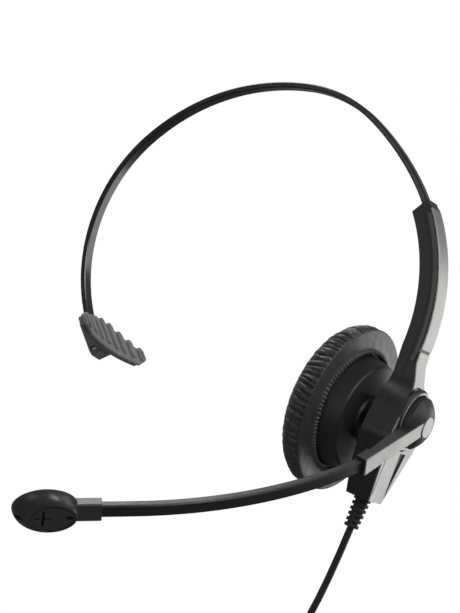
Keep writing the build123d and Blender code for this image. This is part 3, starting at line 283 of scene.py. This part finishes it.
def moulded_rubber(name, color, roughness):
    """Soft rubber: matt, dusty, with a fine pebble."""
    m = Nodes(name, color, roughness, specular=0.35)
    m.round_edges(0.25 * MM)
    dust = m.noise(5 * MM, 6, 0.7)
    pebble = m.noise(0.28 * MM, 3, 0.6)
    m.use_color(m.tint(m.remap(dust, 0.3, 0.7, 0, 1), 0.85, 1.2))
    m.use_roughness(m.remap(dust, 0.3, 0.7, roughness - 0.06, roughness + 0.1))
    m.bump(pebble, 0.02 * MM, 0.7)
    m.bump(m.noise(1.6 * MM, 3, 0.6), 0.03 * MM, 0.5)
    m.shader.inputs["Sheen Weight"].default_value = 0.15
    m.shader.inputs["Sheen Roughness"].default_value = 0.5
    return m.material


def leatherette(name, color, roughness):
    """Thin protein leatherette: cell grain, fine creases, and a soft sheen under a thin coat."""
    m = Nodes(name, color, roughness, specular=0.7)
    cells = m.node("ShaderNodeTexVoronoi", {"Vector": m.place, "Scale": 1 / (0.7 * MM)},
                   feature="DISTANCE_TO_EDGE").outputs["Distance"]
    grain = m.remap(cells, 0.0, 0.25, 0, 1)
    crease = m.noise(2.2 * MM, 6, 0.7, 0.6)
    cloud = m.noise(7 * MM, 4, 0.6)
    m.use_color(m.tint(m.remap(cloud, 0.3, 0.7, 0, 1), 0.75, 1.35))
    m.use_roughness(m.remap(crease, 0.3, 0.7, roughness - 0.08, roughness + 0.10))
    m.bump(crease, 0.10 * MM, 0.6)
    m.bump(grain, 0.025 * MM, 0.7)
    m.shader.inputs["Sheen Weight"].default_value = 0.2
    m.shader.inputs["Sheen Roughness"].default_value = 0.4
    m.shader.inputs["Coat Weight"].default_value = 0.2
    m.shader.inputs["Coat Roughness"].default_value = 0.4
    return m.material


def woven(name, color, size):
    """Felt or open-cell foam, by the size of its cells."""
    m = Nodes(name, color, 0.85, specular=0.2)
    cells = m.node("ShaderNodeTexVoronoi", {"Vector": m.place, "Scale": 1 / size}).outputs["Distance"]
    fuzz = m.noise(size / 2, 5, 0.7)
    # painted shade: the colour follows the relief, darker in the pits of the cells and lighter on the
    # ridges between them
    m.use_color(m.tint(m.remap(cells, 0.1, 0.6, 0, 1), 0.4, 1.5))
    m.bump(cells, size * 0.5, 0.8)
    m.bump(fuzz, size * 0.2, 0.7)
    m.shader.inputs["Sheen Weight"].default_value = 0.4
    return m.material


def board(name, color):
    """Solder-masked board with faint copper tracks under the mask."""
    m = Nodes(name, color, 0.35)
    tracks = m.node("ShaderNodeTexBrick", {"Vector": m.place, "Scale": 1 / (3 * MM),
                                           "Mortar Size": 0.08}).outputs["Fac"]
    m.use_color(m.tint(tracks, 0.8, 1.5))
    m.bump(tracks, 0.02 * MM, 0.5)
    return m.material


# how each slot of the record is made, given the slot's name
SLOT_MATERIALS = {
    "shell_plastic": lambda n: moulded_plastic(n, (0.016, 0.0145, 0.019), 0.42),
    "band_plastic": lambda n: polished_plastic(n, (0.008, 0.008, 0.010), 0.16),
    "silver_trim": lambda n: satin_metal_paint(n, (0.34, 0.335, 0.32), 0.36),
    "boom_plastic": lambda n: moulded_plastic(n, (0.014, 0.0135, 0.017), 0.34, edge=0.8),
    "mic_plastic": lambda n: moulded_plastic(n, (0.040, 0.040, 0.045), 0.30, grain=1.0),
    "pad_rubber": lambda n: moulded_rubber(n, (0.17, 0.17, 0.175), 0.55),
    "pad_plastic": lambda n: moulded_plastic(n, (0.14, 0.14, 0.145), 0.45),
    "leatherette": lambda n: leatherette(n, (0.022, 0.021, 0.022), 0.45),
    "screen_foam": lambda n: woven(n, (0.020, 0.020, 0.022), 0.8 * MM),
    "felt": lambda n: woven(n, (0.030, 0.030, 0.032), 0.3 * MM),
    "steel": lambda n: metal(n, (0.22, 0.22, 0.23), 0.38),
    "spring_steel": lambda n: metal(n, (0.60, 0.60, 0.61), 0.22),
    "brass_pin": lambda n: metal(n, (0.80, 0.60, 0.28), 0.22, brushed=False),
    "liner_plastic": lambda n: moulded_plastic(n, (0.60, 0.58, 0.52), 0.45),
    "board": lambda n: board(n, (0.02, 0.11, 0.05)),
    "cone_film": lambda n: polished_plastic(n, (0.16, 0.16, 0.17), 0.25),
    "magnet": lambda n: satin_metal_paint(n, (0.15, 0.15, 0.16), 0.4),
    "cord_rubber": lambda n: moulded_rubber(n, (0.012, 0.012, 0.014), 0.45),
    "relief_rubber": lambda n: moulded_rubber(n, (0.014, 0.014, 0.016), 0.5),
}


def make_materials():
    """One material for each slot of the record, put on the CAD nodes that name it."""
    made = {slot: build(slot) for slot, build in SLOT_MATERIALS.items()}
    for part in frame["record"]["subparts"]:
        slots = nodes[part["node"]].data.materials
        slots.clear()
        slots.append(made[part["material_slot"]])
    return made


# ---------------------------------------------------------------- mesh helpers
def shade_smooth(piece):
    """Smooth shading on all of a piece."""
    for polygon in piece.data.polygons:
        polygon.use_smooth = True


def new_piece(name, mesh_data, material, body):
    """Links a mesh as a piece that rides on a body."""
    piece = bpy.data.objects.new(name, mesh_data)
    bpy.context.scene.collection.objects.link(piece)
    piece.data.materials.clear()
    piece.data.materials.append(material)
    shade_smooth(piece)
    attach(piece, body)
    return piece


def apply_modifiers(piece):
    """Bakes a piece's modifiers into its mesh."""
    bpy.context.view_layer.update()
    seen = piece.evaluated_get(bpy.context.evaluated_depsgraph_get())
    mesh = bpy.data.meshes.new_from_object(seen)
    piece.modifiers.clear()
    piece.data = mesh


def cup_point(radius, angle, height):
    """Point at a radius and angle about the cup's axis, at a height along it; all in mm."""
    out = CUP_UP * math.cos(angle) + CUP_SIDE * math.sin(angle)
    return CUP_ORIGIN + (out * radius + CUP_AXIS * height) * MM


def tube_mesh(name, rings):
    """Mesh of quads between rings of points, closed round each ring and from last ring to first."""
    mesh = bpy.data.meshes.new(name)
    around, across = len(rings[0]), len(rings)
    faces = []
    for j in range(across):
        for i in range(around):
            k, n = (i + 1) % around, (j + 1) % across
            faces.append((j * around + i, j * around + k, n * around + k, n * around + i))
    mesh.from_pydata([p for ring in rings for p in ring], [], faces)
    mesh.update()
    return mesh


def smooth_step(low, high, x):
    """0 below low, 1 above high, smooth between."""
    t = min(max((x - low) / (high - low), 0), 1)
    return t * t * (3 - 2 * t)


# ---------------------------------------------------------------- ear cushion
# All in mm, as radius from the cup's axis and height along it, away from the ear.
# Half section of the cushion, from the hole's inner edge round the ear side, the pleated wall, the seam,
# the skirt and back inside.
CUSHION_PROFILE = [
    (17.3, -6.8), (14.6, -6.9), (14.1, -7.8), (14.3, -9.2), (15.4, -10.2), (17.5, -10.5), (20.5, -10.5),
    (23.2, -10.3), (26.0, -9.4), (28.3, -7.6), (29.6, -5.6), (30.1, -3.6), (30.0, -1.6), (29.6, -0.5),
    (29.9, -0.1), (30.0, 0.1), (29.6, 0.3), (28.2, 0.4), (26.4, 0.5), (24.4, 0.7), (23.0, 1.0),
    (22.4, 1.6), (21.9, 1.9), (21.45, 1.6), (21.5, 1.1), (22.4, 0.75), (24.6, 0.5), (25.1, -0.4),
    (24.9, -1.9), (20.0, -2.1), (17.3, -2.2),
]
PROFILE_STEPS = 96              # points along the half section
AROUND = 1008                   # points round the cushion
BARE_R = 21.0                   # inside this radius nothing is gathered
WALL_EAR, WALL_SEAM = (-10.4, -8.0), (-0.5, -0.1)   # heights between which the gathers come and go
WALL_INSET = 0.10
PLEATS = 84
PLEAT_DEPTH, SECOND_DEPTH, CRUMPLE_DEPTH = 1.35, 0.14, 0.28
GATHERS = 96                    # waves of the hem at the skirt's opening
HEM_DEPTH = 0.25
HEM_R = (22.4, 23.4)            # radii between which the hem's waves fade
SKIRT_R, SKIRT_HEIGHT = 21.2, (0.1, 0.7)            # the skirt's waves start outside and above these


def profile_points(count):
    """Points spread evenly along a smooth curve through the cushion's half section."""
    data = bpy.data.curves.new("profile", "CURVE")
    data.dimensions = "3D"
    spline = data.splines.new("NURBS")
    spline.points.add(len(CUSHION_PROFILE) - 1)
    for point, (radius, height) in zip(spline.points, CUSHION_PROFILE):
        point.co = (radius, height, 0, 1)
    spline.order_u = 3
    spline.use_cyclic_u = True
    data.resolution_u = 24
    helper = bpy.data.objects.new("profile", data)
    path = [v.co.copy() for v in bpy.data.meshes.new_from_object(helper).vertices]
    path.append(path[0])
    steps = [0.0]
    for a, b in zip(path, path[1:]):
        steps.append(steps[-1] + (b - a).length)
    places, k = [], 0
    for i in range(count):
        want = steps[-1] * i / count
        while steps[k + 1] < want:
            k += 1
        share = (want - steps[k]) / (steps[k + 1] - steps[k])
        spot = path[k].lerp(path[k + 1], share)
        places.append((spot.x, spot.y))
    bpy.data.objects.remove(helper)
    return places


def wall_share(radius, height):
    """1 on the pleated wall, 0 on the smooth ear side and on the skirt."""
    if radius < BARE_R:
        return 0.0
    return smooth_step(*WALL_EAR, height) * (1 - smooth_step(*WALL_SEAM, height))


def on_ring(angle, waves, level):
    """Place in a noise that closes round the cushion, about that many features to a radian."""
    return Vector((math.cos(angle) * waves, math.sin(angle) * waves, level))


def pleat_height(angle, height):
    """How far the wall stands proud or in, in mm: gathers that run across it, branch and fade."""
    drift = 0.10 * noise.noise(on_ring(angle, 3, height * 0.06))
    bend = 0.030 * noise.noise(on_ring(angle, 9, height * 0.18 + 7))
    phase = (angle + drift + bend) * PLEATS
    valley = 1 - abs(math.sin(phase / 2)) ** 0.5
    near_seam = smooth_step(-8.5, -1.5, height)
    patch = 0.85 + 0.5 * noise.noise(on_ring(angle, 6, height * 0.12 + 3))
    second = math.sin(phase * 0.53 + 1.7 + height * 0.15)
    crumple = noise.fractal(on_ring(angle, 26, height * 0.22), 0.6, 2.0, 4)
    gathered = -valley * PLEAT_DEPTH * (0.6 + 0.4 * near_seam) * patch
    return gathered + second * SECOND_DEPTH * patch + crumple * CRUMPLE_DEPTH


def skirt_height(angle, radius):
    """Soft waves of the skirt and the gathered hem at its opening, in mm."""
    wave = noise.noise(on_ring(angle, 2.2, radius * 0.12 + 11)) * 0.30
    fine = noise.noise(on_ring(angle, 7, radius * 0.3 + 5)) * 0.10
    hem = (1 - smooth_step(*HEM_R, radius)) * HEM_DEPTH
    gather = math.sin(angle * GATHERS + 3 * noise.noise(on_ring(angle, 5, 2)))
    return wave + fine + hem * gather


def make_cushion(material):
    """The leatherette cushion: smooth ear side, gathered wall, seam, and a skirt drawn over the cup."""
    rings = []
    for radius, height in profile_points(PROFILE_STEPS):
        wall = wall_share(radius, height)
        ring = []
        for i in range(AROUND):
            angle = 2 * math.pi * i / AROUND
            push = pleat_height(angle, height) * wall
            lift = 0.0
            if height > 0.0 and radius > SKIRT_R:
                lift = skirt_height(angle, radius) * smooth_step(*SKIRT_HEIGHT, height)
            ring.append(cup_point(radius - WALL_INSET * wall + push, angle, height + lift))
        rings.append(ring)
    cushion = new_piece("ear_cushion_cover", tube_mesh("ear_cushion_cover", rings), material, "ear_cup")
    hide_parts("ear_cushion")


# ---------------------------------------------------------------- rest pad
REST_VOXEL = 0.28 * MM
REST_SOFTEN, REST_PASSES = 0.5, 3


def make_rest_pad(material):
    """The ribbed rubber pad, with the soft edges of moulded rubber."""
    source = nodes["rest_pad_rubber"]
    pad = new_piece("rest_pad_cover", source.data.copy(), material, "headband")
    remesh = pad.modifiers.new("remesh", "REMESH")
    remesh.mode, remesh.voxel_size = "VOXEL", REST_VOXEL
    soften = pad.modifiers.new("soften", "SMOOTH")
    soften.factor, soften.iterations = REST_SOFTEN, REST_PASSES
    apply_modifiers(pad)
    shade_smooth(pad)
    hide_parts("rest_pad_rubber")


# ---------------------------------------------------------------- stage and light
STAGE_WHITE, STAGE_FILL = 1.0, 0.20     # brightness of the backdrop as seen, and as it lights the headset
FLOOR_FILL = STAGE_FILL * 0.6
FLOOR_DROP, FLOOR_HALF = 1.0, 3.0       # how far the floor lies below the part, and half its side
# name, then right, up and toward the camera in metres from the view's target, then size and watts
LIGHTS = [
    ("overhead", -0.15, 0.9, -0.42, 0.5, 4),
    ("right_behind", 0.85, -0.30, -0.62, 0.7, 3),
    ("right_side", 1.1, 0.25, 0.15, 0.8, 3),
    ("front_right", 0.55, 0.40, 0.85, 0.45, 4),
    ("front_left", -0.7, 0.3, 0.8, 0.5, 0.8),
]


def glow_for_view(tree, glow, seen, cast):
    """Sets a glowing surface's strength: one for what is seen directly, one for the light that it casts."""
    path = tree.nodes.new("ShaderNodeLightPath").outputs["Is Camera Ray"]
    strength = tree.nodes.new("ShaderNodeMapRange")
    tree.links.new(path, strength.inputs["Value"])
    strength.inputs["To Min"].default_value = cast
    strength.inputs["To Max"].default_value = seen
    tree.links.new(strength.outputs["Result"], glow.inputs["Strength"])
    glow.inputs["Color"].default_value = (1, 1, 1, 1)


def make_stage():
    """A plain pale floor, well below the headset, which hangs as it is worn, and a pale world."""
    low = cad_box[0][2] - FLOOR_DROP
    mesh = bpy.data.meshes.new("floor")
    corners = [(-1, -1), (1, -1), (1, 1), (-1, 1)]
    mesh.from_pydata([(x * FLOOR_HALF, y * FLOOR_HALF, low) for x, y in corners], [], [(0, 1, 2, 3)])
    floor = bpy.data.objects.new("floor", mesh)
    bpy.context.scene.collection.objects.link(floor)
    material = bpy.data.materials.new("floor")
    material.use_nodes = True
    tree = material.node_tree
    glow = tree.nodes.new("ShaderNodeEmission")
    glow_for_view(tree, glow, STAGE_WHITE, FLOOR_FILL)
    tree.links.new(glow.outputs["Emission"], tree.nodes["Material Output"].inputs["Surface"])
    mesh.materials.append(material)

    world = bpy.data.worlds.new("world")
    bpy.context.scene.world = world
    world.use_nodes = True
    glow_for_view(world.node_tree, world.node_tree.nodes["Background"], STAGE_WHITE, STAGE_FILL)


def area_light(name, right, up, toward, size, power):
    """Square soft box, placed by the camera's directions from the view's target and facing it."""
    axis_right, axis_up, axis_back = view_axes()
    data = bpy.data.lights.new(name, "AREA")
    data.shape, data.size, data.energy = "SQUARE", size, power
    light = bpy.data.objects.new(name, data)
    bpy.context.scene.collection.objects.link(light)
    light.location = VIEW_TARGET + axis_right * right + axis_up * up + axis_back * toward
    light.rotation_euler = (light.location - VIEW_TARGET).to_track_quat("Z", "Y").to_euler()


def make_lights():
    """Studio light, and colours shown as they are."""
    for light in LIGHTS:
        area_light(*light)
    bpy.context.scene.view_settings.view_transform = "Standard"


# ---------------------------------------------------------------- the scene
make_camera()
cord = make_cord()
materials = make_materials()
cord.data.materials.append(materials["cord_rubber"])
make_cushion(materials["leatherette"])
make_rest_pad(materials["pad_rubber"])
make_stage()
make_lights()
